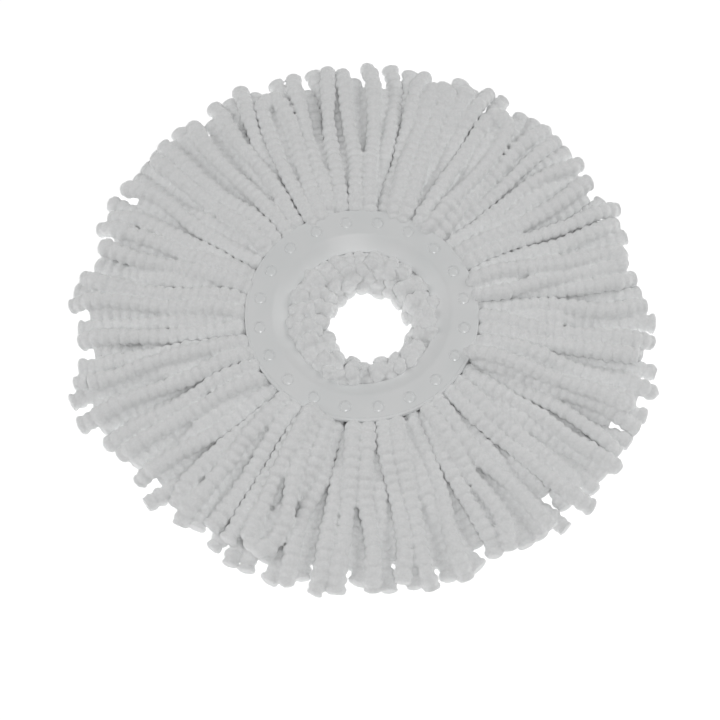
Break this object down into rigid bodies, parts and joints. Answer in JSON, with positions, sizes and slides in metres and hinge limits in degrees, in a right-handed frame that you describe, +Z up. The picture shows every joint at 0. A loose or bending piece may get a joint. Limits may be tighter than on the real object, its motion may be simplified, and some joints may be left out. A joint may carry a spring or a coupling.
{
  "type": "spin mop refill head",
  "caption": "Round microfibre mop head: a white clip-on plastic ring that clamps a full circle of beaded yarns.",
  "frame": {"origin": "on the floor under the centre of the ring, with the mop head lying on its yarns", "axes": "+Z up through the ring's opening, out of the side that the mop plate snaps into; +X through the middle of tuft_01; tufts are numbered anticlockwise seen from above"},
  "size_m": [0.4, 0.4, 0.025],
  "materials": {
    "ring_plastic": "satin",
    "clamp_plastic": "matte",
    "gripped_yarn": "matte",
    "free_yarn": "matte"
  },
  "bodies": {
    "ring": {"top_ring": "ring_plastic", "clamp_ring": "clamp_plastic", "tuft_root_01": "gripped_yarn", "tuft_root_02": "gripped_yarn", "tuft_root_03": "gripped_yarn", "tuft_root_04": "gripped_yarn", "tuft_root_05": "gripped_yarn", "tuft_root_06": "gripped_yarn", "tuft_root_07": "gripped_yarn", "tuft_root_08": "gripped_yarn", "tuft_root_09": "gripped_yarn", "tuft_root_10": "gripped_yarn", "tuft_root_11": "gripped_yarn", "tuft_root_12": "gripped_yarn", "tuft_root_13": "gripped_yarn", "tuft_root_14": "gripped_yarn", "tuft_root_15": "gripped_yarn", "tuft_root_16": "gripped_yarn", "tuft_root_17": "gripped_yarn", "tuft_root_18": "gripped_yarn", "tuft_root_19": "gripped_yarn", "tuft_root_20": "gripped_yarn"},
    "tuft_01": {"tuft_01": "free_yarn"},
    "tuft_02": {"tuft_02": "free_yarn"},
    "tuft_03": {"tuft_03": "free_yarn"},
    "tuft_04": {"tuft_04": "free_yarn"},
    "tuft_05": {"tuft_05": "free_yarn"},
    "tuft_06": {"tuft_06": "free_yarn"},
    "tuft_07": {"tuft_07": "free_yarn"},
    "tuft_08": {"tuft_08": "free_yarn"},
    "tuft_09": {"tuft_09": "free_yarn"},
    "tuft_10": {"tuft_10": "free_yarn"},
    "tuft_11": {"tuft_11": "free_yarn"},
    "tuft_12": {"tuft_12": "free_yarn"},
    "tuft_13": {"tuft_13": "free_yarn"},
    "tuft_14": {"tuft_14": "free_yarn"},
    "tuft_15": {"tuft_15": "free_yarn"},
    "tuft_16": {"tuft_16": "free_yarn"},
    "tuft_17": {"tuft_17": "free_yarn"},
    "tuft_18": {"tuft_18": "free_yarn"},
    "tuft_19": {"tuft_19": "free_yarn"},
    "tuft_20": {"tuft_20": "free_yarn"}
  },
  "joints": [
    {"name": "tuft_01_droop", "type": "hinge", "parent": "ring", "child": "tuft_01", "pos_m": [0.079, 0, 0.003], "axis": [0, 1, 0], "range_deg": [0, 85], "deforming": ["tuft_01"]},
    {"name": "tuft_02_droop", "type": "hinge", "parent": "ring", "child": "tuft_02", "pos_m": [0.07513, 0.02441, 0.003], "axis": [-0.309, 0.9511, 0], "range_deg": [0, 85], "deforming": ["tuft_02"]},
    {"name": "tuft_03_droop", "type": "hinge", "parent": "ring", "child": "tuft_03", "pos_m": [0.06391, 0.04643, 0.003], "axis": [-0.5878, 0.809, 0], "range_deg": [0, 85], "deforming": ["tuft_03"]},
    {"name": "tuft_04_droop", "type": "hinge", "parent": "ring", "child": "tuft_04", "pos_m": [0.04643, 0.06391, 0.003], "axis": [-0.809, 0.5878, 0], "range_deg": [0, 85], "deforming": ["tuft_04"]},
    {"name": "tuft_05_droop", "type": "hinge", "parent": "ring", "child": "tuft_05", "pos_m": [0.02441, 0.07513, 0.003], "axis": [-0.9511, 0.309, 0], "range_deg": [0, 85], "deforming": ["tuft_05"]},
    {"name": "tuft_06_droop", "type": "hinge", "parent": "ring", "child": "tuft_06", "pos_m": [0, 0.079, 0.003], "axis": [-1, 0, 0], "range_deg": [0, 85], "deforming": ["tuft_06"]},
    {"name": "tuft_07_droop", "type": "hinge", "parent": "ring", "child": "tuft_07", "pos_m": [-0.02441, 0.07513, 0.003], "axis": [-0.9511, -0.309, 0], "range_deg": [0, 85], "deforming": ["tuft_07"]},
    {"name": "tuft_08_droop", "type": "hinge", "parent": "ring", "child": "tuft_08", "pos_m": [-0.04643, 0.06391, 0.003], "axis": [-0.809, -0.5878, 0], "range_deg": [0, 85], "deforming": ["tuft_08"]},
    {"name": "tuft_09_droop", "type": "hinge", "parent": "ring", "child": "tuft_09", "pos_m": [-0.06391, 0.04643, 0.003], "axis": [-0.5878, -0.809, 0], "range_deg": [0, 85], "deforming": ["tuft_09"]},
    {"name": "tuft_10_droop", "type": "hinge", "parent": "ring", "child": "tuft_10", "pos_m": [-0.07513, 0.02441, 0.003], "axis": [-0.309, -0.9511, 0], "range_deg": [0, 85], "deforming": ["tuft_10"]},
    {"name": "tuft_11_droop", "type": "hinge", "parent": "ring", "child": "tuft_11", "pos_m": [-0.079, 0, 0.003], "axis": [0, -1, 0], "range_deg": [0, 85], "deforming": ["tuft_11"]},
    {"name": "tuft_12_droop", "type": "hinge", "parent": "ring", "child": "tuft_12", "pos_m": [-0.07513, -0.02441, 0.003], "axis": [0.309, -0.9511, 0], "range_deg": [0, 85], "deforming": ["tuft_12"]},
    {"name": "tuft_13_droop", "type": "hinge", "parent": "ring", "child": "tuft_13", "pos_m": [-0.06391, -0.04643, 0.003], "axis": [0.5878, -0.809, 0], "range_deg": [0, 85], "deforming": ["tuft_13"]},
    {"name": "tuft_14_droop", "type": "hinge", "parent": "ring", "child": "tuft_14", "pos_m": [-0.04643, -0.06391, 0.003], "axis": [0.809, -0.5878, 0], "range_deg": [0, 85], "deforming": ["tuft_14"]},
    {"name": "tuft_15_droop", "type": "hinge", "parent": "ring", "child": "tuft_15", "pos_m": [-0.02441, -0.07513, 0.003], "axis": [0.9511, -0.309, 0], "range_deg": [0, 85], "deforming": ["tuft_15"]},
    {"name": "tuft_16_droop", "type": "hinge", "parent": "ring", "child": "tuft_16", "pos_m": [0, -0.079, 0.003], "axis": [1, 0, 0], "range_deg": [0, 85], "deforming": ["tuft_16"]},
    {"name": "tuft_17_droop", "type": "hinge", "parent": "ring", "child": "tuft_17", "pos_m": [0.02441, -0.07513, 0.003], "axis": [0.9511, 0.309, 0], "range_deg": [0, 85], "deforming": ["tuft_17"]},
    {"name": "tuft_18_droop", "type": "hinge", "parent": "ring", "child": "tuft_18", "pos_m": [0.04643, -0.06391, 0.003], "axis": [0.809, 0.5878, 0], "range_deg": [0, 85], "deforming": ["tuft_18"]},
    {"name": "tuft_19_droop", "type": "hinge", "parent": "ring", "child": "tuft_19", "pos_m": [0.06391, -0.04643, 0.003], "axis": [0.5878, 0.809, 0], "range_deg": [0, 85], "deforming": ["tuft_19"]},
    {"name": "tuft_20_droop", "type": "hinge", "parent": "ring", "child": "tuft_20", "pos_m": [0.07513, -0.02441, 0.003], "axis": [0.309, 0.9511, 0], "range_deg": [0, 85], "deforming": ["tuft_20"]}
  ]
}
